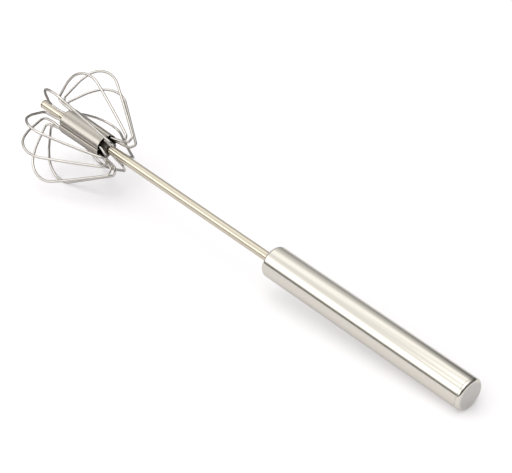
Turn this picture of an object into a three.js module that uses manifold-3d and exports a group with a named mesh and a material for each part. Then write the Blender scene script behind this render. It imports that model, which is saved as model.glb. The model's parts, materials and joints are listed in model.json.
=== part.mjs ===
// Push-down rotary whisk, in millimetres, lying at rest on two of its wire loops and on the rim of its
// end cap, with +Z up.
//
// The tool is drawn along its own Z axis: z = 0 is the outer face of the end cap and z grows towards the
// tip of the shaft. Its own +X is the side that faces the ground, and every angle about the axis is
// counted from there towards +Y. The last lines lay the finished tool down.

import * as THREE from "three";
import { mergeVertices } from "three/addons/utils/BufferGeometryUtils.js";
import Module from "manifold-3d";

const wasm = await Module();
wasm.setup();

// Driving dimensions.
const GAP = 0.3; // clearance between neighbouring pieces
const TOTAL_LENGTH = 311.5;

const HANDLE_RADIUS = 8.5;
const HANDLE_LENGTH = 129.5;
const HANDLE_WALL = 0.7;
const HANDLE_HOLE = 3.5; // radius of the front hole
const HANDLE_FRONT_BEND = 2.0;
const CAP_THICKNESS = 2.0;
const CAP_EDGE = 1.8; // bend radius of the rim
const CAP_SKIRT_LENGTH = 6;
const CAP_SKIRT_WALL = 0.6;

const SHAFT_RADIUS = 2.5;
const SHAFT_BORE = 2.0; // radius
const TIP_THICKNESS = 0.8;
const TIP_STEM = 5; // length of the plug's stem in the shaft
const TIP_EDGE = 0.4;

const STROKE = 70; // how far the shaft slides into the handle
const STRIP_WIDTH = 3.1;
const STRIP_THICKNESS = 0.8;
const STRIP_LEAD = 28; // length of one full twist
const STRIP_STEPS = 14; // facets along one full twist
const TAB_WIDTH = 5.4;
const TAB_LENGTH = 7;
const TAB_INSET = 0.6; // from the plug's back face to the tab
const STRIP_OVERHANG = 4; // length of strip beyond the nut
const PIN_RADIUS = 0.8;
const PIN_INSET = 0.2; // from the plug's side to the pin's end

const WIRE_RADIUS = 0.74;
const BUSH_START = 254.2;
const BUSH_RADIUS = 3.65;
const SLEEVE_START = 257.4;
const SLEEVE_LENGTH = 31.6;
const SLEEVE_WALL = 0.45;
const GROOVE_RADIUS = 5.3;
const LOBE_RADIUS_BACK = 7.0; // at the handle side
const LOBE_RADIUS_FRONT = 7.4; // at the tip side
const LOBE_AZIMUTH = 48.5; // middle of the first of the four lobes, in degrees
const GROOVE_HALF_WIDTH = 9; // degrees
const SLEEVE_TURN = 6; // degrees that the lobes are turned past the wires' middle
const SLEEVE_FACETS = 56;
const BUSH_INSET = 3; // from the sleeve's front rim to the bush

// Facets.
const SEGMENTS = 24;
const TUBE_SEGMENTS = 40;
const ROD_SEGMENTS = 16;
const STRAIGHT = 1.57; // half the angle of a corner that needs no bend

// Places along the axis that follow from them.
const TUBE_START = CAP_THICKNESS + GAP;
const BORE_RADIUS = HANDLE_RADIUS - HANDLE_WALL;
const PLUG_START = CAP_THICKNESS + GAP;
const PLUG_RADIUS = BORE_RADIUS - CAP_SKIRT_WALL - 3 * GAP;
const TAB_START = PLUG_START + TAB_INSET;
const ANCHOR_END = 11;
const GUIDE_LENGTH = 8;
const GUIDE_MARGIN = 1.5; // clears the round inside of the handle's front
const GUIDE_RADIUS = BORE_RADIUS - GUIDE_MARGIN;
const GUIDE_START = HANDLE_LENGTH - HANDLE_WALL - GAP - GUIDE_LENGTH;
const NUT_LENGTH = 10;
const NUT_START = GUIDE_START - GAP - NUT_LENGTH;
const NUT_FLANGE = 3; // length of the slotted flange
const NUT_BODY_RADIUS = 4.2;
const NUT_FLANGE_RADIUS = 6.9;
const CRIMP_OFFSET = 5; // from the nut's back face
const CRIMP_START = NUT_START + CRIMP_OFFSET;
const CRIMP_LENGTH = 3.5;
const CRIMP_RADIUS = 5.4;
const WASHER_THICKNESS = 1.2;
const WASHER_RADIUS = 7.1;
const WASHER_HOLE = 2.6; // radius
const WASHER_START = NUT_START - GAP - WASHER_THICKNESS;
const SHAFT_START = NUT_START + NUT_FLANGE + GAP;
const SHAFT_END = TOTAL_LENGTH - TIP_THICKNESS - GAP;
const STRIP_END = NUT_START + NUT_LENGTH + STRIP_OVERHANG;
const SLEEVE_END = SLEEVE_START + SLEEVE_LENGTH;
const BUSH_END = SLEEVE_END - BUSH_INSET;

// One wire loop at its standard size, as [z, radius from the axis, bend radius]. It leaves the sleeve
// towards the tip, swings out and back towards the handle, and turns into the sleeve's other end.
const LEG_RADIUS_FRONT = 5.8;
const LEG_RADIUS_BACK = 5.35;
const LOOP_OUTLINE = [
  [SLEEVE_START + 18, LEG_RADIUS_FRONT],
  [SLEEVE_END, LEG_RADIUS_FRONT, 30],
  [301.5, 7.6, 2.4],
  [297.8, 21, 16],
  [289, 38.9, 14],
  [246.9, 12, 2.4],
  [247.2, 8, 2.2],
  [SLEEVE_START, LEG_RADIUS_BACK, 30],
  [SLEEVE_START + 14, LEG_RADIUS_BACK],
];
const LOOP_MIDDLE_Z = 272;
const LOOP_SPAN = 50; // length over which a loop leans
const SPREAD_LENGTH = 7; // beyond the sleeve a wire takes its own azimuth within this length
const SPREAD_START_RADIUS = 7.5; // and at the latest between these two radii
const SPREAD_END_RADIUS = 12;
const WIRE_STEPS = 40;
const WIRE_SIDES = 6;
const WIRE_SAMPLES = 160; // points that the curve runs through

// The ten loops, bent by hand, so no two quite alike. reach scales how far a loop stands out, and lean
// is the turn in degrees between its two ends. Each lobe of the sleeve grips two or three loops side by
// side, and slot says where in the lobe a loop's ends lie.
const LOOPS = [
  { azimuth: 21, reach: 0.995, lean: 4, lobe: 0, slot: -1 },
  { azimuth: 46, reach: 1.063, lean: 9, lobe: 0, slot: 0 },
  { azimuth: 84.2, reach: 0.998, lean: 6, lobe: 0, slot: 1 },
  { azimuth: 110.4, reach: 0.955, lean: 6, lobe: 1, slot: -0.95 },
  { azimuth: 153, reach: 0.9, lean: 0.5, lobe: 1, slot: 1 },
  { azimuth: 203.5, reach: 0.868, lean: -9, lobe: 2, slot: -1 },
  { azimuth: 227.6, reach: 1.034, lean: -6, lobe: 2, slot: 0 },
  { azimuth: 258.6, reach: 0.955, lean: -7, lobe: 2, slot: 1 },
  { azimuth: 299, reach: 0.93, lean: -8, lobe: 3, slot: -0.8 },
  { azimuth: 337, reach: 1.03, lean: -12, lobe: 3, slot: 0.8 },
];
const SLOT_PITCH = 22; // degrees between two wires in a lobe

// Materials.
function metal(colour, roughness) {
  return new THREE.MeshStandardMaterial({ color: colour, roughness, metalness: 1 });
}
function plastic(colour, roughness) {
  return new THREE.MeshStandardMaterial({ color: colour, roughness, metalness: 0 });
}
const HANDLE_STEEL = metal(0xd8d5cd, 0.32);
const CAP_STEEL = metal(0xb4b1ac, 0.38);
const SHAFT_STEEL = metal(0xdcd6c8, 0.22);
const WIRE_STEEL = metal(0xcfccc6, 0.18);
const SLEEVE_STEEL = metal(0xc4beb6, 0.28);
const SPRING_STEEL = metal(0x8f9298, 0.35);
const STRIP_STEEL = metal(0xa3a39f, 0.3);
const BLACK_PLASTIC = plastic(0x0c0c0d, 0.25);
const WHITE_PLASTIC = plastic(0xd9d6cc, 0.5);

// A path through corners given as [x, y, bend radius], with straight ends.
function roundedPath(corners) {
  const path = new THREE.Path();
  const at = corners.map(([x, y]) => new THREE.Vector2(x, y));
  path.moveTo(at[0].x, at[0].y);
  for (let i = 1; i < at.length - 1; i += 1) {
    const radius = corners[i][2] ?? 0;
    const back = at[i - 1].clone().sub(at[i]).normalize();
    const on = at[i + 1].clone().sub(at[i]).normalize();
    const half = Math.acos(THREE.MathUtils.clamp(back.dot(on), -1, 1)) / 2;
    if (radius === 0 || half > STRAIGHT) {
      path.lineTo(at[i].x, at[i].y);
      continue;
    }
    const cut = radius / Math.tan(half);
    const start = at[i].clone().addScaledVector(back, cut);
    const end = at[i].clone().addScaledVector(on, cut);
    const middle = back.clone().add(on).normalize();
    const centre = at[i].clone().addScaledVector(middle, radius / Math.sin(half));
    const from = start.clone().sub(centre).angle();
    const to = end.clone().sub(centre).angle();
    path.lineTo(start.x, start.y);
    path.absarc(centre.x, centre.y, radius, from, to, back.cross(on) > 0);
  }
  path.lineTo(at.at(-1).x, at.at(-1).y);
  return path;
}

// A closed outline of [radius, z, bend radius] corners, turned about the Z axis.
function turned(corners, segments = SEGMENTS) {
  const points = roundedPath(corners).getPoints(2);
  return new THREE.LatheGeometry(points, segments).rotateX(Math.PI / 2);
}

// A tube between two radii and two heights.
function ring(inner, outer, low, high, segments = SEGMENTS) {
  return turned([[inner, low], [outer, low], [outer, high], [inner, high], [inner, low]], segments);
}

// A round wire along a curve.
function wire(curve, radius, steps, sides) {
  const section = new THREE.Shape();
  for (let i = 0; i < sides; i += 1) {
    const turn = (2 * Math.PI * i) / sides;
    const [x, y] = [radius * Math.cos(turn), radius * Math.sin(turn)];
    if (i === 0) section.moveTo(x, y);
    else section.lineTo(x, y);
  }
  return new THREE.ExtrudeGeometry(section, { steps, extrudePath: curve });
}

function solidOf(geometry) {
  const bare = geometry.clone().deleteAttribute("normal").deleteAttribute("uv");
  const merged = mergeVertices(bare, 1e-4);
  const vertProperties = new Float32Array(merged.attributes.position.array);
  const triVerts = new Uint32Array(merged.index.array);
  return new wasm.Manifold(new wasm.Mesh({ numProp: 3, vertProperties, triVerts }));
}

function geometryOf(solid) {
  const mesh = solid.getMesh();
  const geometry = new THREE.BufferGeometry();
  geometry.setAttribute("position", new THREE.BufferAttribute(mesh.vertProperties, 3));
  geometry.setIndex(new THREE.BufferAttribute(mesh.triVerts, 1));
  return geometry.toNonIndexed();
}

// Handle: a tube whose front end is rounded in to a hole. Its outline starts halfway along the bore.
function handleTube() {
  const front = HANDLE_LENGTH;
  return turned([
    [BORE_RADIUS, front / 2],
    [BORE_RADIUS, TUBE_START],
    [HANDLE_RADIUS, TUBE_START],
    [HANDLE_RADIUS, front, HANDLE_FRONT_BEND],
    [HANDLE_HOLE, front],
    [HANDLE_HOLE, front - HANDLE_WALL],
    [BORE_RADIUS, front - HANDLE_WALL, HANDLE_FRONT_BEND - HANDLE_WALL],
    [BORE_RADIUS, front / 2],
  ], TUBE_SEGMENTS);
}

// End cap: a disc with a rounded rim and a skirt that grips the tube from inside.
function endCap() {
  const skirt = BORE_RADIUS - GAP;
  const skirtEnd = CAP_THICKNESS + CAP_SKIRT_LENGTH;
  return turned([
    [0, 0],
    [HANDLE_RADIUS, 0, CAP_EDGE],
    [HANDLE_RADIUS, CAP_THICKNESS],
    [skirt, CAP_THICKNESS],
    [skirt, skirtEnd],
    [skirt - CAP_SKIRT_WALL, skirtEnd],
    [skirt - CAP_SKIRT_WALL, CAP_THICKNESS],
    [0, CAP_THICKNESS],
  ], TUBE_SEGMENTS);
}

// Twisted strip: a flat bar whose section turns with z, from a start height on.
function twistedBar(width, thickness, start, end) {
  const steps = Math.ceil(((end - start) / STRIP_LEAD) * STRIP_STEPS);
  const section = new THREE.Shape([
    new THREE.Vector2(-width / 2, -thickness / 2),
    new THREE.Vector2(width / 2, -thickness / 2),
    new THREE.Vector2(width / 2, thickness / 2),
    new THREE.Vector2(-width / 2, thickness / 2),
  ]);
  const bar = new THREE.ExtrudeGeometry(section, { depth: end - start, steps, bevelEnabled: false });
  bar.translate(0, 0, start);
  const places = bar.attributes.position;
  const place = new THREE.Vector3();
  for (let i = 0; i < places.count; i += 1) {
    place.fromBufferAttribute(places, i);
    place.applyAxisAngle(new THREE.Vector3(0, 0, 1), stripTurn(place.z));
    places.setXYZ(i, place.x, place.y, place.z);
  }
  return bar;
}

function stripTurn(z) {
  return (2 * Math.PI * (z - ANCHOR_END)) / STRIP_LEAD;
}

const PIN_Z = TAB_START + TAB_LENGTH / 2;

// A rod across the tool, along its own Y axis.
function crossRod(radius, length) {
  return new THREE.CylinderGeometry(radius, radius, length, ROD_SEGMENTS).translate(0, 0, PIN_Z);
}

// The strip's flat tab, or the slot that holds it when grown by the clearance.
function tab(grow) {
  const size = [TAB_WIDTH + 2 * grow, STRIP_THICKNESS + 2 * grow, TAB_LENGTH + 2 * grow];
  return new THREE.BoxGeometry(...size).translate(0, 0, PIN_Z);
}

const OVERLAP = 0.01; // so that the tab, its neck and the twisted bar join

function driveStrip() {
  const bar = twistedBar(STRIP_WIDTH, STRIP_THICKNESS, ANCHOR_END, STRIP_END);
  const neckLength = ANCHOR_END - PIN_Z + OVERLAP;
  const neck = new THREE.BoxGeometry(STRIP_WIDTH, STRIP_THICKNESS, neckLength)
    .translate(0, 0, PIN_Z + neckLength / 2);
  const pinHole = solidOf(crossRod(PIN_RADIUS + GAP, TAB_WIDTH));
  const flat = solidOf(tab(0)).add(solidOf(neck)).subtract(pinHole);
  return geometryOf(flat.add(solidOf(bar)));
}

// Strip anchor: a plug in the back of the handle, slotted for the tab and drilled for the pin.
function stripAnchor() {
  const plug = turned([[0, PLUG_START], [PLUG_RADIUS, PLUG_START], [PLUG_RADIUS, ANCHOR_END],
    [0, ANCHOR_END]]);
  const neckSlot = new THREE.BoxGeometry(STRIP_WIDTH + 2 * GAP, STRIP_THICKNESS + 2 * GAP, TAB_LENGTH)
    .translate(0, 0, ANCHOR_END);
  const drilled = solidOf(plug)
    .subtract(solidOf(tab(GAP)))
    .subtract(solidOf(neckSlot))
    .subtract(solidOf(crossRod(PIN_RADIUS + GAP, 3 * PLUG_RADIUS)));
  return geometryOf(drilled);
}

function anchorPin() {
  return crossRod(PIN_RADIUS, 2 * (PLUG_RADIUS - PIN_INSET));
}

// Return spring, with one close turn at each end.
class SpringCurve extends THREE.Curve {
  constructor(radius, low, high, turns, closePitch) {
    super();
    Object.assign(this, { radius, low, high, turns, closePitch });
  }

  getPoint(t) {
    const turn = t * this.turns;
    const openPitch = (this.high - this.low - 2 * this.closePitch) / (this.turns - 2);
    const first = Math.min(turn, 1) * this.closePitch;
    const middle = THREE.MathUtils.clamp(turn - 1, 0, this.turns - 2) * openPitch;
    const last = Math.max(turn - this.turns + 1, 0) * this.closePitch;
    const angle = 2 * Math.PI * turn;
    const z = this.low + first + middle + last;
    return new THREE.Vector3(this.radius * Math.cos(angle), this.radius * Math.sin(angle), z);
  }
}

const SPRING_RADIUS = 5.2;
const SPRING_WIRE_RADIUS = 0.5;
const SPRING_STEPS = 10; // facets along one turn
const SPRING_SIDES = 5;
// As many turns as still clear each other when the spring is pressed.
const PRESSED_PITCH = 3.5 * SPRING_WIRE_RADIUS;
const SPRING_TURNS = Math.floor((WASHER_START - STROKE - ANCHOR_END) / PRESSED_PITCH);

function returnSpring() {
  const margin = SPRING_WIRE_RADIUS + GAP;
  const curve = new SpringCurve(SPRING_RADIUS, ANCHOR_END + margin, WASHER_START - margin,
    SPRING_TURNS, 2 * SPRING_WIRE_RADIUS + 2 * GAP);
  return wire(curve, SPRING_WIRE_RADIUS, SPRING_TURNS * SPRING_STEPS, SPRING_SIDES);
}

const CUT_MARGIN = 1; // so that the slot's cutter stands out of the flange

// Drive nut: a slotted flange that follows the strip's twist, and a skirt for the shaft's end.
function driveNut() {
  const end = NUT_START + NUT_LENGTH;
  const slotted = NUT_START + NUT_FLANGE;
  const blank = turned([
    [0, NUT_START],
    [NUT_FLANGE_RADIUS, NUT_START],
    [NUT_FLANGE_RADIUS, slotted],
    [NUT_BODY_RADIUS, slotted],
    [NUT_BODY_RADIUS, end],
    [SHAFT_RADIUS + GAP, end],
    [SHAFT_RADIUS + GAP, slotted],
    [0, slotted],
  ]);
  const slot = twistedBar(STRIP_WIDTH + 2 * GAP, STRIP_THICKNESS + 2 * GAP,
    NUT_START - CUT_MARGIN, slotted + CUT_MARGIN);
  return geometryOf(solidOf(blank).subtract(solidOf(slot)));
}

// Radius of the sleeve's outer face: four broad lobes with a narrow groove between each two.
function sleeveRadius(angle, z) {
  const along = (z - SLEEVE_START) / SLEEVE_LENGTH;
  const lobe = THREE.MathUtils.lerp(LOBE_RADIUS_BACK, LOBE_RADIUS_FRONT, along);
  const azimuth = THREE.MathUtils.radToDeg(angle) - LOBE_AZIMUTH - SLEEVE_TURN;
  const fromLobe = Math.abs(THREE.MathUtils.euclideanModulo(azimuth + 45, 90) - 45);
  const rise = THREE.MathUtils.smoothstep(45 - fromLobe, 0, GROOVE_HALF_WIDTH);
  return THREE.MathUtils.lerp(GROOVE_RADIUS, lobe, rise);
}

function hubSleeve() {
  const around = [...Array(SLEEVE_FACETS).keys()].map((i) => (2 * Math.PI * i) / SLEEVE_FACETS);
  const outline = (inset) => around.map((angle) => {
    const radius = sleeveRadius(angle, SLEEVE_START) - inset;
    return new THREE.Vector2(radius * Math.cos(angle), radius * Math.sin(angle));
  });
  const section = new THREE.Shape(outline(0));
  section.holes.push(new THREE.Path(outline(SLEEVE_WALL)));
  const sleeve = new THREE.ExtrudeGeometry(section, {
    depth: SLEEVE_LENGTH, steps: 2, bevelEnabled: false, curveSegments: 1,
  });
  sleeve.translate(0, 0, SLEEVE_START);
  const places = sleeve.attributes.position;
  for (let i = 0; i < places.count; i += 1) {
    const [x, y, z] = [places.getX(i), places.getY(i), places.getZ(i)];
    const angle = Math.atan2(y, x);
    const inset = sleeveRadius(angle, SLEEVE_START) - Math.hypot(x, y);
    const radius = sleeveRadius(angle, z) - inset;
    places.setXYZ(i, radius * Math.cos(angle), radius * Math.sin(angle), z);
  }
  return sleeve;
}

// One wire loop. Its ends lie side by side with their neighbours in the sleeve, and the wire turns to the
// loop's own azimuth between the sleeve and the bends.
function loopCurve({ azimuth, reach, lean, lobe, slot }) {
  const corners = LOOP_OUTLINE.map(([z, radius, bend], i) => {
    const outside = i > 1 && i < LOOP_OUTLINE.length - 2;
    const scaled = LEG_RADIUS_FRONT + (radius - LEG_RADIUS_FRONT) * reach;
    return [z, outside ? scaled : radius, bend];
  });
  const gripped = LOBE_AZIMUTH + 90 * lobe + SLOT_PITCH * slot;
  const turn = THREE.MathUtils.euclideanModulo(azimuth - gripped + 180, 360) - 180;
  const flat = roundedPath(corners).getSpacedPoints(WIRE_SAMPLES);
  const spread = (z, radius) => {
    const beyond = Math.max(z - SLEEVE_END, SLEEVE_START - z, 0);
    const leg = THREE.MathUtils.smoothstep(beyond, 0, SPREAD_LENGTH);
    const swung = THREE.MathUtils.smoothstep(radius, SPREAD_START_RADIUS, SPREAD_END_RADIUS);
    return Math.max(leg, swung);
  };
  const places = flat.map(({ x: z, y: radius }) => {
    const own = turn + (lean * (z - LOOP_MIDDLE_Z)) / LOOP_SPAN;
    const angle = THREE.MathUtils.degToRad(gripped + own * spread(z, radius));
    return new THREE.Vector3(radius * Math.cos(angle), radius * Math.sin(angle), z);
  });
  return new THREE.CatmullRomCurve3(places);
}

const tool = new THREE.Group();

function add(name, geometry, material) {
  const mesh = new THREE.Mesh(geometry, material);
  mesh.name = name;
  tool.add(mesh);
}

add("handle_tube", handleTube(), HANDLE_STEEL);
add("end_cap", endCap(), CAP_STEEL);
add("strip_anchor", stripAnchor(), STRIP_STEEL);
add("anchor_pin", anchorPin(), SPRING_STEEL);
add("drive_strip", driveStrip(), STRIP_STEEL);
add("return_spring", returnSpring(), SPRING_STEEL);
add("thrust_washer", ring(WASHER_HOLE, WASHER_RADIUS, WASHER_START, WASHER_START + WASHER_THICKNESS),
  STRIP_STEEL);
add("drive_nut", driveNut(), WHITE_PLASTIC);
add("crimp_ring", ring(NUT_BODY_RADIUS + GAP, CRIMP_RADIUS, CRIMP_START, CRIMP_START + CRIMP_LENGTH),
  STRIP_STEEL);
add("guide_bush", ring(SHAFT_RADIUS + GAP, GUIDE_RADIUS, GUIDE_START, GUIDE_START + GUIDE_LENGTH),
  BLACK_PLASTIC);
add("shaft_tube", ring(SHAFT_BORE, SHAFT_RADIUS, SHAFT_START, SHAFT_END), SHAFT_STEEL);
add("tip_plug", turned([
  [0, SHAFT_END - TIP_STEM],
  [SHAFT_BORE - GAP, SHAFT_END - TIP_STEM],
  [SHAFT_BORE - GAP, SHAFT_END + GAP],
  [SHAFT_RADIUS, SHAFT_END + GAP],
  [SHAFT_RADIUS, TOTAL_LENGTH, TIP_EDGE],
  [0, TOTAL_LENGTH],
]), SHAFT_STEEL);
add("hub_bush", ring(SHAFT_RADIUS + GAP, BUSH_RADIUS, BUSH_START, BUSH_END), BLACK_PLASTIC);
add("hub_sleeve", hubSleeve(), SLEEVE_STEEL);
LOOPS.forEach((loop, i) => {
  const name = `whisk_wire_${String(i + 1).padStart(2, "0")}`;
  add(name, wire(loopCurve(loop), WIRE_RADIUS, WIRE_STEPS, WIRE_SIDES), WIRE_STEEL);
});

const LEAN_SAMPLES = 200;

// Lay the tool down: it touches the ground with the rounded rim of its cap and with its two lowest loops,
// so it leans by the steepest line that touches that rim and a loop. The head points to -X.
const lean = Math.max(...LOOPS.flatMap((loop) => loopCurve(loop).getPoints(LEAN_SAMPLES)).map(({ x, z }) => {
  const [out, on] = [x - HANDLE_RADIUS + CAP_EDGE, z - CAP_EDGE];
  return Math.atan2(out, on) - Math.asin((CAP_EDGE - WIRE_RADIUS) / Math.hypot(out, on));
}));
const axis = new THREE.Vector3(-Math.cos(lean), 0, Math.sin(lean));
const down = new THREE.Vector3(-Math.sin(lean), 0, -Math.cos(lean));
tool.quaternion.setFromRotationMatrix(
  new THREE.Matrix4().makeBasis(down, axis.clone().cross(down), axis),
);
const box = new THREE.Box3().setFromObject(tool, true);
const middle = box.getCenter(new THREE.Vector3());
tool.position.set(-middle.x, -middle.y, -box.min.z);

const beater = new THREE.Group();
beater.add(tool);

export default beater;
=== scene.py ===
import json
import math

import bmesh
import bpy
from mathutils import Matrix, Vector


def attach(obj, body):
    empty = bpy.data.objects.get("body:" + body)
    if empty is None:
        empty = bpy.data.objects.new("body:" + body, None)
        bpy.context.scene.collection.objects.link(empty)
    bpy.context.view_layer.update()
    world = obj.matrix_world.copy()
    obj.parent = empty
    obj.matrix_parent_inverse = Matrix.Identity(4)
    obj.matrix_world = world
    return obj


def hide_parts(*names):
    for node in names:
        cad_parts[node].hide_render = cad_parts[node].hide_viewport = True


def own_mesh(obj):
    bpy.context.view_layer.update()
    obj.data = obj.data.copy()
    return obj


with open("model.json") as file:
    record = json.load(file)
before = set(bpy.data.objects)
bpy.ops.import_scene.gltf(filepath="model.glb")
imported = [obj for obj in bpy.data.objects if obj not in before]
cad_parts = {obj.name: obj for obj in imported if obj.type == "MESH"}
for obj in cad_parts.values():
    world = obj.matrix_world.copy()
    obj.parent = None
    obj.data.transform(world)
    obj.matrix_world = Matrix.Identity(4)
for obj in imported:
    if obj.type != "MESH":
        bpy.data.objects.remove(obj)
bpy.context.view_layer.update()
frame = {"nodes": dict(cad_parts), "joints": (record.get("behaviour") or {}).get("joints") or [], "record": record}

# A push-down rotary whisk of stainless steel, lying on two of its wire loops and the rim of its end cap.
# The tool's lengths are in millimetres and angles in degrees; MM turns lengths into the frame's metres.
MM = 0.001

# The tool's own axes: local Z runs from the end cap to the tip, and local X points to the ground.
PUSH = next(joint for joint in frame["joints"] if joint["name"] == "push")
CAP_CENTRE = Vector(frame["record"]["mounts"][0]["pos_m"])
AXIS = -Vector(PUSH["axis"]).normalized()
DOWN = Vector((-AXIS.z, 0, AXIS.x))
SIDE = AXIS.cross(DOWN)
TOOL = Matrix.Translation(CAP_CENTRE) @ Matrix((DOWN, SIDE, AXIS)).transposed().to_4x4()

# Driving dimensions, as in the CAD model. A START or END is a place on local Z, and GAP is left between
# pieces that the real tool has pressed together.
GAP = 0.3
TOTAL_LENGTH = 311.5
HANDLE_RADIUS = 8.5
HANDLE_LENGTH = 129.5
HANDLE_WALL = 0.7
HANDLE_HOLE = 3.5
HANDLE_FRONT_BEND = 2.0
CAP_THICKNESS = 2.0
CAP_EDGE = 1.8
CAP_SKIRT_LENGTH = 6
CAP_SKIRT_WALL = 0.6
SHAFT_RADIUS = 2.5
SHAFT_BORE = 2.0
SHAFT_START = 113.5
TIP_THICKNESS = 0.8
TIP_PLUG_LENGTH = 5
TIP_EDGE = 0.4
BUSH_START = 254.2
BUSH_RADIUS = 3.65
BUSH_INSET = 3
SLEEVE_START = 257.4
SLEEVE_LENGTH = 31.6
SLEEVE_END = SLEEVE_START + SLEEVE_LENGTH
SLEEVE_WALL = 0.45
WIRE_RADIUS = 0.70

# Fine detail that the CAD model leaves out: the seam between cap and tube, a ring pressed into the cap's
# face, and the small rounds on each piece's edges.
SEAM = 0.07
RING_RADIUS = 6.1
RING_HALF_WIDTH = 0.25
RING_DEPTH = 0.07
RING_EDGE = 0.15
CAP_SEAM_EDGE = 0.06
TUBE_SEAM_EDGE = 0.12
INNER_EDGE = 0.1
ROLLED_EDGE = 0.2
SHAFT_EDGE = 0.08
PLUG_EDGE = 0.05
BUSH_BACK_EDGE = 0.35
BUSH_FRONT_EDGE = 0.3

# The sleeve's four lobes: their radius at each end of the sleeve, and the azimuth of the first one's wires.
# The grooves between lobes stand SLEEVE_TURN further round than halfway between two lobes' wires, and the
# shoulder on each side of a groove takes GROOVE_HALF_WIDTH degrees to round over.
LOBES = 4
LOBE_PITCH = 360 / LOBES
LOBE_RADIUS_BACK = 7.0
LOBE_RADIUS_FRONT = 7.4
LOBE_AZIMUTH = 48.5
SLEEVE_TURN = 6
GROOVE_RADIUS = 5.3
GROOVE_HALF_WIDTH = 9

# One wire loop at its standard size, as (z, radius from the axis, bend radius).
LEG_RADIUS_FRONT = 5.8
LEG_RADIUS_BACK = 5.35
LOOP_OUTLINE = [
    (SLEEVE_START + 18, LEG_RADIUS_FRONT, 0),
    (SLEEVE_END, LEG_RADIUS_FRONT, 30),
    (301.5, 7.6, 2.4),
    (297.8, 21, 16),
    (289, 38.9, 14),
    (246.9, 12, 2.4),
    (247.2, 8, 2.2),
    (SLEEVE_START, LEG_RADIUS_BACK, 30),
    (SLEEVE_START + 14, LEG_RADIUS_BACK, 0),
]
# A loop leans by its whole lean over LOOP_SPAN, about LOOP_MIDDLE_Z. It turns from its slot in the sleeve
# to its own azimuth within SPREAD_LENGTH beyond the sleeve, or between the two SPREAD_RADII.
LOOP_MIDDLE_Z = 272
LOOP_SPAN = 50
SPREAD_LENGTH = 7
SPREAD_RADII = (7.5, 12)
SLOT_PITCH = 22
# azimuth, reach, lean, lobe of the sleeve, slot in the lobe
LOOPS = [
    (21, 0.995, 4, 0, -1),
    (46, 1.063, 9, 0, 0),
    (84.2, 0.998, 6, 0, 1),
    (110.4, 0.955, 6, 1, -0.95),
    (153, 0.9, 0.5, 1, 1),
    (203.5, 0.868, -9, 2, -1),
    (227.6, 1.034, -6, 2, 0),
    (258.6, 0.955, -7, 2, 1),
    (299, 0.93, -8, 3, -0.8),
    (337, 1.03, -12, 3, 0.8),
]

# The return spring, between the strip anchor and the thrust washer, with one close turn at each end.
ANCHOR_END = 11
WASHER_START = 108.7
SPRING_RADIUS = 5.2
SPRING_WIRE_RADIUS = 0.5
SPRING_TURNS = 15
SPRING_CLOSE_TURNS = 1

# How finely round shapes are divided.
TUBE_SEGMENTS = 160
ROD_SEGMENTS = 64
SLEEVE_SEGMENTS = 288
SLEEVE_RINGS = 34
RIM_STEPS = 6
CAP_ARC_STEPS = 14
WIRE_ARC_STEPS = 16
WIRE_STEP = 0.5
SPRING_STEPS = 24
SPRING_SIDES = 12
# An edge sharper than SHARP_ANGLE, in degrees, shows as a crease. A corner is straight if half its angle,
# in radians, is over STRAIGHT, and points closer than TOUCHING are one point.
SHARP_ANGLE = 35
STRAIGHT = 1.57
TOUCHING = 1e-6

# Camera, in metres and degrees: where it stands, which way it looks from, and how it is tilted.
CAMERA_AT = Vector((0.5538, -0.4911, 0.5346))
CAMERA_AZIMUTH = 47.64
CAMERA_ELEVATION = 34.79
CAMERA_ROLL = -1.70
CAMERA_LENS = 126.5625
CAMERA_SENSOR = 36
CAMERA_CLIP_START = 0.01


# ---------------------------------------------------------------- shapes

def smoothstep(value, low, high):
    """0 below low and 1 above high, with a smooth rise between."""
    share = min(max((value - low) / (high - low), 0), 1)
    return share * share * (3 - 2 * share)


def lerp(a, b, share):
    return a + (b - a) * share


def sine(degrees):
    return math.sin(math.radians(degrees))


def around_axis(radius, angle, z):
    """The point at a radius and an angle in radians about the tool's axis."""
    return Vector((radius * math.cos(angle), radius * math.sin(angle), z))


def rounded(corners, arc_steps=8):
    """Points along straight lines through (x, y, bend radius) corners, each turned by an arc."""
    at = [Vector(corner[:2]) for corner in corners]
    points = [at[0]]
    for i in range(1, len(at) - 1):
        radius = corners[i][2]
        back = (at[i - 1] - at[i]).normalized()
        on = (at[i + 1] - at[i]).normalized()
        half = math.acos(min(max(back.dot(on), -1), 1)) / 2
        if radius == 0 or half > STRAIGHT:
            points.append(at[i])
            continue
        centre = at[i] + (back + on).normalized() * (radius / math.sin(half))
        start = at[i] + back * (radius / math.tan(half)) - centre
        end = at[i] + on * (radius / math.tan(half)) - centre
        sweep = start.angle_signed(end)
        for k in range(arc_steps + 1):
            points.append(centre + Matrix.Rotation(-sweep * k / arc_steps, 2) @ start)
    points.append(at[-1])
    return points


def spaced(points, step):
    """The same line with points at an even distance of about step."""
    lengths = [0]
    for a, b in zip(points, points[1:]):
        lengths.append(lengths[-1] + (b - a).length)
    count = max(round(lengths[-1] / step), 2)
    result = []
    k = 0
    for i in range(count + 1):
        target = lengths[-1] * i / count
        while k < len(points) - 2 and lengths[k + 1] < target:
            k += 1
        span = lengths[k + 1] - lengths[k]
        share = (target - lengths[k]) / span if span else 0
        result.append(points[k].lerp(points[k + 1], min(share, 1)))
    return result


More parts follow.
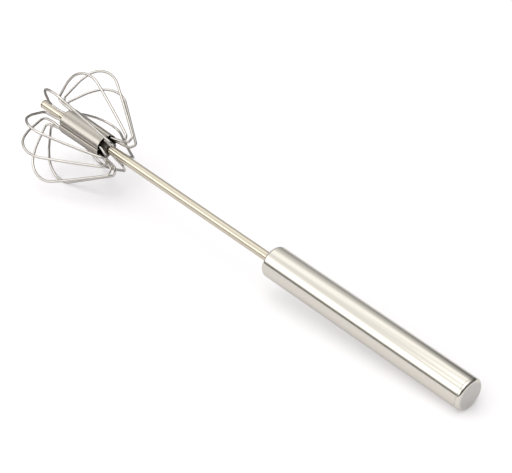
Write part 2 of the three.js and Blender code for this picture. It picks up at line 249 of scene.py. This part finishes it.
def revolved(corners, segments, arc_steps=8):
    """Vertices and faces of an outline of (radius, z, bend radius) corners turned about the tool's axis.

    The outline is closed, or starts and ends on the axis.
    """
    outline = rounded(corners, arc_steps)
    closed = (outline[0] - outline[-1]).length < TOUCHING
    if closed:
        outline.pop()
    vertices, rows = [], []
    for radius, z in outline:
        if radius < TOUCHING:
            rows.append([len(vertices)] * segments)
            vertices.append((0, 0, z))
            continue
        rows.append(list(range(len(vertices), len(vertices) + segments)))
        for i in range(segments):
            vertices.append(around_axis(radius, 2 * math.pi * i / segments, z))
    if closed:
        rows.append(rows[0])
    faces = []
    for low, high in zip(rows, rows[1:]):
        for i in range(segments):
            j = (i + 1) % segments
            face = tuple(dict.fromkeys((low[i], low[j], high[j], high[i])))
            if len(face) > 2:
                faces.append(face)
    return vertices, faces


def swept(points, radius, sides=16, dome_steps=4):
    """Vertices and faces of a round wire along points, with domed ends."""
    tangents = []
    for before, after in zip(points[:1] + points[:-1], points[1:] + points[-1:]):
        tangents.append((after - before).normalized())
    poles = (points[0] - tangents[0] * radius, points[-1] + tangents[-1] * radius)
    # centre, direction and radius of each row of vertices, from one dome along the wire to the other
    rows = [(point, tangent, radius) for point, tangent in zip(points, tangents)]
    for k in range(dome_steps - 1, 0, -1):
        rise = math.pi / 2 * k / dome_steps
        beyond, size = radius * math.cos(rise), radius * math.sin(rise)
        rows.insert(0, (points[0] - tangents[0] * beyond, tangents[0], size))
        rows.append((points[-1] + tangents[-1] * beyond, tangents[-1], size))
    vertices = []
    across = tangents[0].orthogonal()
    for centre, tangent, size in rows:
        across = (across - tangent * across.dot(tangent)).normalized()
        other = tangent.cross(across)
        for i in range(sides):
            turn = 2 * math.pi * i / sides
            vertices.append(centre + (across * math.cos(turn) + other * math.sin(turn)) * size)
    last = (len(rows) - 1) * sides
    first_pole = len(vertices)
    vertices += poles
    faces = []
    for i in range(sides):
        j = (i + 1) % sides
        for low in range(0, last, sides):
            faces.append((low + i, low + j, low + sides + j, low + sides + i))
        faces.append((first_pole, j, i))
        faces.append((last + i, last + j, first_pole + 1))
    return vertices, faces


def piece(name, vertices, faces, body, material, slot, *nodes):
    """A piece from points in the tool's own axes, in millimetres, that stands for CAD nodes."""
    mesh = bpy.data.meshes.new(name)
    mesh.from_pydata([TOOL @ (Vector(v) * MM) for v in vertices], [], faces)
    built = bmesh.new()
    built.from_mesh(mesh)
    bmesh.ops.recalc_face_normals(built, faces=built.faces)
    built.to_mesh(mesh)
    built.free()
    mesh.polygons.foreach_set("use_smooth", [True] * len(mesh.polygons))
    mesh.set_sharp_from_angle(angle=math.radians(SHARP_ANGLE))
    mesh.validate()
    obj = bpy.data.objects.new(name, mesh)
    bpy.context.scene.collection.objects.link(obj)
    mesh.materials.append(material)
    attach(obj, body)
    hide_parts(*nodes)
    return obj


# ---------------------------------------------------------------- nodes

# A Mix node's sockets share their names, so they are told apart by number.
MIX_SHARE = 0
MIX_NUMBERS = (2, 3, 0)
MIX_COLOURS = (6, 7, 2)


class Nodes:
    """A node tree, and short ways of adding to it."""

    def __init__(self, tree):
        self.tree = tree

    def set(self, node, values):
        """Give a node's inputs their values: another node's output is linked, and a constant is set."""
        for key, value in values.items():
            if isinstance(value, bpy.types.NodeSocket):
                self.tree.links.new(value, node.inputs[key])
            else:
                node.inputs[key].default_value = value

    def node(self, kind, inputs=None, **settings):
        made = self.tree.nodes.new(kind)
        for key, value in settings.items():
            setattr(made, key, value)
        self.set(made, inputs or {})
        return made

    def math(self, operation, *values):
        return self.node("ShaderNodeMath", dict(enumerate(values)), operation=operation).outputs[0]

    def vector_math(self, operation, *values):
        return self.node("ShaderNodeVectorMath", dict(enumerate(values)), operation=operation).outputs

    def mix(self, share, first, second):
        """A number between two, by share."""
        a, b, result = MIX_NUMBERS
        return self.node("ShaderNodeMix", {MIX_SHARE: share, a: first, b: second}).outputs[result]

    def tint(self, share, first, second):
        """A colour between two, by share."""
        a, b, result = MIX_COLOURS
        inputs = {MIX_SHARE: share, a: first, b: second}
        return self.node("ShaderNodeMix", inputs, data_type="RGBA").outputs[result]


# ---------------------------------------------------------------- materials

# Noise scales are per metre, and bump depths are in metres.
STREAK_SCALE = 5200
BROAD_STREAK_SCALE = STREAK_SCALE / 9
WEAR_SCALE = 70
RING_SCALE = 5200
GRAIN_SCALE = 2600
CAP_WEAR_SCALE = 160
STEEL_DEPTH = 2e-6
RIPPLE_SCALE = 900
MOTTLE_SCALE = 260
GRIT_SCALE = 6000
GRIT_SHARE = 0.15
PLASTIC_DEPTH = 1e-5
EDGE_SHINE = 0.78


def rgba(colour):
    return (*colour, 1)


class Finish(Nodes):
    """A material made of nodes, with a Principled shader whose constants are set on its sockets."""

    def __init__(self, name, colour, metallic, roughness, **sockets):
        self.material = bpy.data.materials.new(name)
        self.material.use_nodes = True
        super().__init__(self.material.node_tree)
        self.shader = self.tree.nodes["Principled BSDF"]
        self.set(self.shader, {"Base Color": rgba(colour), "Metallic": metallic, "Roughness": roughness})
        self.set(self.shader, {key.replace("_", " "): value for key, value in sockets.items()})
        placed = {
            "Vector": self.node("ShaderNodeTexCoord").outputs["Object"],
            "Location": CAP_CENTRE,
            "Rotation": TOOL.to_euler(),
        }
        # where a point is in the tool's own axes, in metres
        self.place = self.node("ShaderNodeMapping", placed, vector_type="TEXTURE").outputs["Vector"]

    def stretched(self, scale):
        """Coordinates along the tool's own axes, scaled by an amount for each axis."""
        return self.node("ShaderNodeMapping", {"Vector": self.place, "Scale": scale}).outputs["Vector"]

    def noise(self, where, scale, detail=3, roughness=0.5):
        values = {"Vector": where, "Scale": scale, "Detail": detail, "Roughness": roughness}
        return self.node("ShaderNodeTexNoise", values).outputs["Fac"]

    def weighted(self, first, second, share):
        """A share of the first value and the rest of the second."""
        return self.math("ADD", self.math("MULTIPLY", first, share), self.math("MULTIPLY", second, 1 - share))

    def ranged(self, value, low, high, from_low=0.3, from_high=0.7):
        """A value carried from one range to another. Noise lies mostly between 0.3 and 0.7."""
        values = {"Value": value, "From Min": from_low, "From Max": from_high, "To Min": low, "To Max": high}
        return self.node("ShaderNodeMapRange", values).outputs["Result"]

    def bump(self, height, distance):
        values = {"Height": height, "Distance": distance}
        self.set(self.shader, {"Normal": self.node("ShaderNodeBump", values).outputs["Normal"]})


def grained_steel(name, light, dark, smooth, rough, streak_length=60, edge_shine=EDGE_SHINE):
    """Steel with fine streaks along the tool and soft patches. edge_shine is its brightness seen edge on."""
    finish = Finish(name, light, 1, smooth, Specular_Tint=rgba([edge_shine] * 3))
    along = finish.stretched((1, 1, 1 / streak_length))
    streaks = finish.noise(along, STREAK_SCALE, 4, 0.6)
    broad = finish.noise(along, BROAD_STREAK_SCALE, 2)
    patches = finish.noise(finish.place, WEAR_SCALE, 4, 0.55)
    mixed = finish.weighted(streaks, broad, 0.6)
    worn = finish.weighted(mixed, patches, 0.7)
    finish.set(finish.shader, {
        "Base Color": finish.tint(finish.ranged(mixed, 0, 1), rgba(light), rgba(dark)),
        "Roughness": finish.ranged(worn, smooth, rough),
    })
    finish.bump(streaks, STEEL_DEPTH)
    return finish.material


def turned_steel(name, light, dark, smooth, rough, rim_colour, rim_roughness):
    """Steel with fine rings about the tool's axis, and the end cap's polished rim."""
    finish = Finish(name, light, 1, smooth, Specular_Tint=rgba([EDGE_SHINE] * 3))
    radius = finish.vector_math("LENGTH", finish.stretched((1, 1, 0)))["Value"]
    ring_values = {"W": radius, "Scale": RING_SCALE, "Detail": 3}
    rings = finish.node("ShaderNodeTexNoise", ring_values, noise_dimensions="1D").outputs["Fac"]
    grain = finish.noise(finish.place, GRAIN_SCALE, 4, 0.6)
    patches = finish.noise(finish.place, CAP_WEAR_SCALE)
    mixed = finish.weighted(rings, grain, 0.5)
    worn = finish.weighted(mixed, patches, 0.5)
    rim_start = (HANDLE_RADIUS - CAP_EDGE) * MM
    rim_full = (HANDLE_RADIUS - CAP_EDGE / 2) * MM
    at_rim = finish.ranged(radius, 0, 1, rim_start, rim_full)
    face = finish.tint(finish.ranged(mixed, 0, 1), rgba(light), rgba(dark))
    finish.set(finish.shader, {
        "Base Color": finish.tint(at_rim, face, rgba(rim_colour)),
        "Roughness": finish.mix(at_rim, finish.ranged(worn, smooth, rough), rim_roughness),
    })
    finish.bump(mixed, STEEL_DEPTH)
    return finish.material


def moulded(name, light, dark, smooth, rough):
    """Moulded plastic with a faint ripple and fine grit."""
    finish = Finish(name, light, 0, smooth)
    ripple = finish.noise(finish.place, RIPPLE_SCALE)
    mottle = finish.noise(finish.place, MOTTLE_SCALE)
    grit = finish.noise(finish.place, GRIT_SCALE, 2)
    finish.set(finish.shader, {
        "Base Color": finish.tint(finish.ranged(mottle, 0, 1), rgba(light), rgba(dark)),
        "Roughness": finish.ranged(ripple, smooth, rough),
    })
    finish.bump(finish.math("ADD", ripple, finish.math("MULTIPLY", grit, GRIT_SHARE)), PLASTIC_DEPTH)
    return finish.material


# name, lighter and darker colour, lower and higher roughness
HANDLE_STEEL = grained_steel("handle_steel", (0.645, 0.62, 0.56), (0.595, 0.57, 0.515), 0.12, 0.2)
CAP_STEEL = turned_steel("cap_steel", (0.60, 0.59, 0.56), (0.50, 0.49, 0.465), 0.34, 0.46,
                         rim_colour=(0.645, 0.62, 0.56), rim_roughness=0.16)
SHAFT_STEEL = grained_steel("shaft_steel", (0.61, 0.56, 0.46), (0.50, 0.455, 0.37), 0.13, 0.24)
WIRE_STEEL = grained_steel("wire_steel", (0.59, 0.565, 0.53), (0.46, 0.44, 0.41), 0.08, 0.18,
                           streak_length=8, edge_shine=0.28)
SLEEVE_STEEL = grained_steel("sleeve_steel", (0.45, 0.425, 0.385), (0.385, 0.36, 0.325), 0.22, 0.32,
                             edge_shine=0.5)
SPRING_STEEL = grained_steel("spring_steel", (0.50, 0.51, 0.53), (0.40, 0.41, 0.43), 0.25, 0.4,
                             streak_length=4)
STRIP_STEEL = grained_steel("strip_steel", (0.58, 0.58, 0.56), (0.48, 0.48, 0.46), 0.25, 0.4)
BLACK_PLASTIC = moulded("black_plastic", (0.10, 0.09, 0.076), (0.07, 0.062, 0.054), 0.14, 0.26)
WHITE_PLASTIC = moulded("white_plastic", (0.80, 0.78, 0.72), (0.74, 0.72, 0.66), 0.4, 0.55)


# ---------------------------------------------------------------- handle, cap, shaft and tip

def handle_tube():
    """A thin tube, rounded in at the front to the hole that the shaft comes out of."""
    bore = HANDLE_RADIUS - HANDLE_WALL
    middle = HANDLE_LENGTH / 2
    start = CAP_THICKNESS + SEAM
    inside = HANDLE_LENGTH - HANDLE_WALL
    outline = [
        (bore, middle),
        (bore, start, INNER_EDGE),
        (HANDLE_RADIUS, start, TUBE_SEAM_EDGE),
        (HANDLE_RADIUS, middle, 0),
        (HANDLE_RADIUS, HANDLE_LENGTH, HANDLE_FRONT_BEND),
        (HANDLE_HOLE, HANDLE_LENGTH, ROLLED_EDGE),
        (HANDLE_HOLE, inside, 0),
        (bore, inside, HANDLE_FRONT_BEND - HANDLE_WALL),
        (bore, middle),
    ]
    tube = revolved(outline, TUBE_SEGMENTS)
    piece("handle_tube_shell", *tube, "handle", HANDLE_STEEL, "handle_steel", "handle_tube")


def end_cap():
    """A disc with a broadly rounded rim, a faint ring pressed into its face, and a skirt inside the tube."""
    skirt = HANDLE_RADIUS - HANDLE_WALL - GAP
    skirt_bore = skirt - CAP_SKIRT_WALL
    skirt_end = CAP_THICKNESS + CAP_SKIRT_LENGTH
    outline = [
        (0, 0),
        (RING_RADIUS - RING_HALF_WIDTH, 0, RING_EDGE),
        (RING_RADIUS, RING_DEPTH, RING_EDGE),
        (RING_RADIUS + RING_HALF_WIDTH, 0, RING_EDGE),
        (HANDLE_RADIUS, 0, CAP_EDGE),
        (HANDLE_RADIUS, CAP_THICKNESS, CAP_SEAM_EDGE),
        (skirt, CAP_THICKNESS, 0),
        (skirt, skirt_end, ROLLED_EDGE),
        (skirt_bore, skirt_end, ROLLED_EDGE),
        (skirt_bore, CAP_THICKNESS, 0),
        (0, CAP_THICKNESS),
    ]
    disc = revolved(outline, TUBE_SEGMENTS, CAP_ARC_STEPS)
    piece("end_cap_disc", *disc, "handle", CAP_STEEL, "cap_steel", "end_cap")


def shaft():
    """A thin tube, and the plug that closes its far end."""
    end = TOTAL_LENGTH - TIP_THICKNESS - GAP
    outline = [
        (SHAFT_BORE, SHAFT_START),
        (SHAFT_RADIUS, SHAFT_START, INNER_EDGE),
        (SHAFT_RADIUS, end, SHAFT_EDGE),
        (SHAFT_BORE, end, SHAFT_EDGE),
        (SHAFT_BORE, SHAFT_START),
    ]
    tube = revolved(outline, ROD_SEGMENTS)
    piece("shaft_tube_shell", *tube, "whisk", SHAFT_STEEL, "shaft_steel", "shaft_tube")
    tip = [
        (0, end - TIP_PLUG_LENGTH),
        (SHAFT_BORE - GAP, end - TIP_PLUG_LENGTH, 0),
        (SHAFT_BORE - GAP, end + GAP, 0),
        (SHAFT_RADIUS, end + GAP, PLUG_EDGE),
        (SHAFT_RADIUS, TOTAL_LENGTH, TIP_EDGE),
        (0, TOTAL_LENGTH),
    ]
    plug = revolved(tip, ROD_SEGMENTS)
    piece("tip_plug_end", *plug, "whisk", SHAFT_STEEL, "shaft_steel", "tip_plug")


# ---------------------------------------------------------------- head

def hub_bush():
    """A plastic tube on the shaft, which shows at the handle side of the sleeve."""
    bore = SHAFT_RADIUS + GAP
    end = SLEEVE_END - BUSH_INSET
    outline = [
        (bore, BUSH_START),
        (BUSH_RADIUS, BUSH_START, BUSH_BACK_EDGE),
        (BUSH_RADIUS, end, BUSH_FRONT_EDGE),
        (bore, end, ROLLED_EDGE),
        (bore, BUSH_START),
    ]
    tube = revolved(outline, ROD_SEGMENTS)
    piece("hub_bush_tube", *tube, "whisk", BLACK_PLASTIC, "black_plastic", "hub_bush")


def sleeve_radius(azimuth, z):
    """Four lobes whose shoulders round down into narrow grooves."""
    lobe = lerp(LOBE_RADIUS_BACK, LOBE_RADIUS_FRONT, (z - SLEEVE_START) / SLEEVE_LENGTH)
    from_groove = (azimuth - LOBE_AZIMUTH - SLEEVE_TURN + LOBE_PITCH / 2) % LOBE_PITCH
    from_groove = min(from_groove, LOBE_PITCH - from_groove)
    short_of_lobe = max(1 - from_groove / GROOVE_HALF_WIDTH, 0)
    return lerp(GROOVE_RADIUS, lobe, math.sqrt(1 - short_of_lobe ** 2))


def hub_sleeve():
    """A thin shell: out along the outer face and back along the inner one, with rounded rims."""
    rim = SLEEVE_WALL / 2
    far_rim = SLEEVE_LENGTH - rim
    turns = [math.pi * k / RIM_STEPS for k in range(1, RIM_STEPS)]
    face = [lerp(rim, far_rim, k / SLEEVE_RINGS) for k in range(SLEEVE_RINGS + 1)]
    # how far in from the outer face, and how far along the sleeve
    profile = [(0, along) for along in face]
    profile += [(rim - rim * math.cos(turn), far_rim + rim * math.sin(turn)) for turn in turns]
    profile += [(SLEEVE_WALL, along) for along in reversed(face)]
    profile += [(rim + rim * math.cos(turn), rim - rim * math.sin(turn)) for turn in turns]
    vertices = []
    for inset, along in profile:
        z = SLEEVE_START + along
        for i in range(SLEEVE_SEGMENTS):
            azimuth = 360 * i / SLEEVE_SEGMENTS
            vertices.append(around_axis(sleeve_radius(azimuth, z) - inset, math.radians(azimuth), z))
    faces = []
    for k in range(len(profile)):
        low = k * SLEEVE_SEGMENTS
        high = (k + 1) % len(profile) * SLEEVE_SEGMENTS
        for i in range(SLEEVE_SEGMENTS):
            j = (i + 1) % SLEEVE_SEGMENTS
            faces.append((low + i, low + j, high + j, high + i))
    piece("hub_sleeve_shell", vertices, faces, "whisk", SLEEVE_STEEL, "sleeve_steel", "hub_sleeve")


def loop_points(azimuth, reach, lean, lobe, slot):
    """The middle line of one wire loop, in the tool's own axes. Reach widens it outside the sleeve."""
    corners = []
    for i, (z, radius, bend) in enumerate(LOOP_OUTLINE):
        if 1 < i < len(LOOP_OUTLINE) - 2:
            radius = lerp(LEG_RADIUS_FRONT, radius, reach)
        corners.append((z, radius, bend))
    gripped = LOBE_AZIMUTH + LOBE_PITCH * lobe + SLOT_PITCH * slot
    turn = (azimuth - gripped + 180) % 360 - 180
    points = []
    for z, radius in spaced(rounded(corners, WIRE_ARC_STEPS), WIRE_STEP):
        beyond = max(z - SLEEVE_END, SLEEVE_START - z, 0)
        spread = max(smoothstep(beyond, 0, SPREAD_LENGTH), smoothstep(radius, *SPREAD_RADII))
        own_turn = turn + lean * (z - LOOP_MIDDLE_Z) / LOOP_SPAN
        points.append(around_axis(radius, math.radians(gripped + own_turn * spread), z))
    return points


def whisk_wires():
    for number, loop in enumerate(LOOPS, 1):
        wire = swept(spaced(loop_points(*loop), WIRE_STEP), WIRE_RADIUS)
        node = f"whisk_wire_{number:02d}"
        piece(f"whisk_loop_{number:02d}", *wire, "whisk", WIRE_STEEL, "wire_steel", node)


# ---------------------------------------------------------------- inside the handle

def return_spring():
    """A coil with a close turn at each end, built in one fixed shape; the real spring shortens as the shaft slides
    in.
    """
    margin = SPRING_WIRE_RADIUS + GAP
    low, high = ANCHOR_END + margin, WASHER_START - margin
    close_pitch = 2 * margin
    open_turns = SPRING_TURNS - 2 * SPRING_CLOSE_TURNS
    open_pitch = (high - low - 2 * SPRING_CLOSE_TURNS * close_pitch) / open_turns
    points = []
    for i in range(SPRING_TURNS * SPRING_STEPS + 1):
        turn = i / SPRING_STEPS
        opened = min(max(turn - SPRING_CLOSE_TURNS, 0), open_turns)
        z = low + opened * open_pitch + (turn - opened) * close_pitch
        points.append(around_axis(SPRING_RADIUS, 2 * math.pi * turn, z))
    wire = swept(points, SPRING_WIRE_RADIUS, SPRING_SIDES)
    coil = piece("return_spring_coil", *wire, "handle", SPRING_STEEL, "spring_steel", "return_spring")
    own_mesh(coil)


def inner_pieces():
    """The other pieces inside the handle keep their CAD meshes, with materials of their own."""
    finishes = {
        "strip_anchor": STRIP_STEEL,
        "anchor_pin": SPRING_STEEL,
        "drive_strip": STRIP_STEEL,
        "thrust_washer": STRIP_STEEL,
        "drive_nut": WHITE_PLASTIC,
        "crimp_ring": STRIP_STEEL,
        "guide_bush": BLACK_PLASTIC,
    }
    for name, finish in finishes.items():
        mesh = frame["nodes"][name].data
        mesh.materials.clear()
        mesh.materials.append(finish)


# ---------------------------------------------------------------- studio

# The bare room's brightness at each elevation in degrees.
OVERHEAD = 2.4
ROOM = [
    (-90, 0.5),
    (0, 0.40),
    (10, 0.50),
    (22, 0.70),
    (37, 0.95),
    (50, 1.14),
    (62, 1.25),
    (70, 1.32),
    (75, OVERHEAD),
    (90, OVERHEAD),
]
# Light panels, and dark ones of negative strength: azimuth, half width, low and high elevation, strength,
# and how soft the edges are.
PANELS = [
    (-114, 36, 15, 42, 1.6, 10),
    (-75, 45, 54, 82, 1.0, 8),
    (150, 30, 47, 64, 0.42, 6),
    (-130, 40, -10, 7, -0.34, 3),
    (-32, 24, -20, 40, -0.7, 12),
    (50, 55, 4, 52, -0.6, 8),
]
DIMMEST = 0.11
BACKDROP = 1.0
ROOM_COLOUR = (1.0, 0.995, 0.985)

# The floor, in metres, and its paper: a faint glow keeps its shadows pale.
FLOOR_HALF = 30
FLOOR_COLOUR = (0.66, 0.65, 0.66)
FLOOR_ROUGHNESS = 0.7
FLOOR_GLOW_COLOUR = (1.0, 0.98, 1.0)
FLOOR_GLOW = 0.30


def floor():
    mesh = bpy.data.meshes.new("floor")
    half = FLOOR_HALF
    corners = [(-half, -half, 0), (half, -half, 0), (half, half, 0), (-half, half, 0)]
    mesh.from_pydata(corners, [], [(0, 1, 2, 3)])
    plane = bpy.data.objects.new("floor", mesh)
    bpy.context.scene.collection.objects.link(plane)
    paper = Finish("paper", FLOOR_COLOUR, 0, FLOOR_ROUGHNESS, Specular_IOR_Level=0.1,
                   Emission_Color=rgba(FLOOR_GLOW_COLOUR), Emission_Strength=FLOOR_GLOW)
    mesh.materials.append(paper.material)


class Sky(Nodes):
    """The world's nodes: how bright the room is in each direction."""

    def __init__(self):
        world = bpy.data.worlds.new("studio")
        bpy.context.scene.world = world
        world.use_nodes = True
        super().__init__(world.node_tree)
        self.tree.nodes.clear()
        self.towards = self.node("ShaderNodeTexCoord").outputs["Generated"]
        self.height = self.node("ShaderNodeSeparateXYZ", {0: self.towards}).outputs["Z"]

    def edge(self, value, start, end):
        """0 before start, 1 after end."""
        values = {"Value": value, "From Min": start, "From Max": end}
        return self.node("ShaderNodeMapRange", values, interpolation_type="SMOOTHSTEP").outputs["Result"]

    def room(self):
        """The bare room's brightness, from a ramp that runs from straight down to straight up."""
        raised = self.math("MULTIPLY_ADD", self.height, 0.5, 0.5)
        ramp = self.node("ShaderNodeValToRGB", {"Fac": raised})
        stops = ramp.color_ramp.elements
        while len(stops) < len(ROOM):
            stops.new(0.5)
        for stop, (elevation, brightness) in zip(stops, ROOM):
            stop.position = 0.5 + 0.5 * sine(elevation)
            stop.color = rgba([brightness / OVERHEAD] * 3)
        return self.math("MULTIPLY", ramp.outputs["Color"], OVERHEAD)

    def panel(self, azimuth, half_width, low, high, strength, soft):
        """A soft-edged panel about an azimuth, between two elevations."""
        turn = math.radians(azimuth)
        flat = self.vector_math("MULTIPLY", self.towards, (1, 1, 0))[0]
        level = self.vector_math("NORMALIZE", flat)[0]
        facing = self.vector_math("DOT_PRODUCT", level, (math.cos(turn), math.sin(turn), 0))["Value"]
        inner, outer = math.radians(half_width), math.radians(half_width + 2 * soft)
        across = self.edge(facing, math.cos(outer), math.cos(inner))
        above = self.edge(self.height, sine(low - soft / 2), sine(low + soft / 2))
        below = self.edge(self.height, sine(high + soft), sine(high - soft))
        shape = self.math("MULTIPLY", self.math("MULTIPLY", across, above), below)
        return self.math("MULTIPLY", shape, strength)


def studio_light():
    """A pale room, dimmer near the horizon, with light and dark panels, seen against a plain pale backdrop.

    The room and its panels light the tool and show in its reflections. The camera sees only the backdrop.
    """
    sky = Sky()
    light = sky.room()
    for panel in PANELS:
        light = sky.math("ADD", light, sky.panel(*panel))
    light = sky.math("MAXIMUM", light, DIMMEST)
    seen = sky.node("ShaderNodeLightPath").outputs["Is Camera Ray"]
    shown = sky.mix(seen, light, BACKDROP)
    background = sky.node("ShaderNodeBackground", {"Color": rgba(ROOM_COLOUR), "Strength": shown})
    sky.node("ShaderNodeOutputWorld", {"Surface": background.outputs[0]})


def camera():
    data = bpy.data.cameras.new("camera")
    data.sensor_width = CAMERA_SENSOR
    data.lens = CAMERA_LENS
    data.clip_start = CAMERA_CLIP_START
    view = bpy.data.objects.new("camera", data)
    bpy.context.scene.collection.objects.link(view)
    azimuth, elevation, roll = map(math.radians, (CAMERA_AZIMUTH, CAMERA_ELEVATION, CAMERA_ROLL))
    level = Vector((math.cos(azimuth), math.sin(azimuth), 0))
    outward = Vector((math.sin(azimuth), -math.cos(azimuth), 0))
    back = outward * math.cos(elevation) + Vector((0, 0, math.sin(elevation)))
    right = level * math.cos(roll) + back.cross(level) * math.sin(roll)
    turn = Matrix((right, back.cross(right), back)).transposed().to_4x4()
    view.matrix_world = Matrix.Translation(CAMERA_AT) @ turn
    bpy.context.scene.camera = view


bpy.context.scene.view_settings.view_transform = "Standard"
camera()
studio_light()
floor()
handle_tube()
end_cap()
shaft()
hub_bush()
hub_sleeve()
whisk_wires()
return_spring()
inner_pieces()
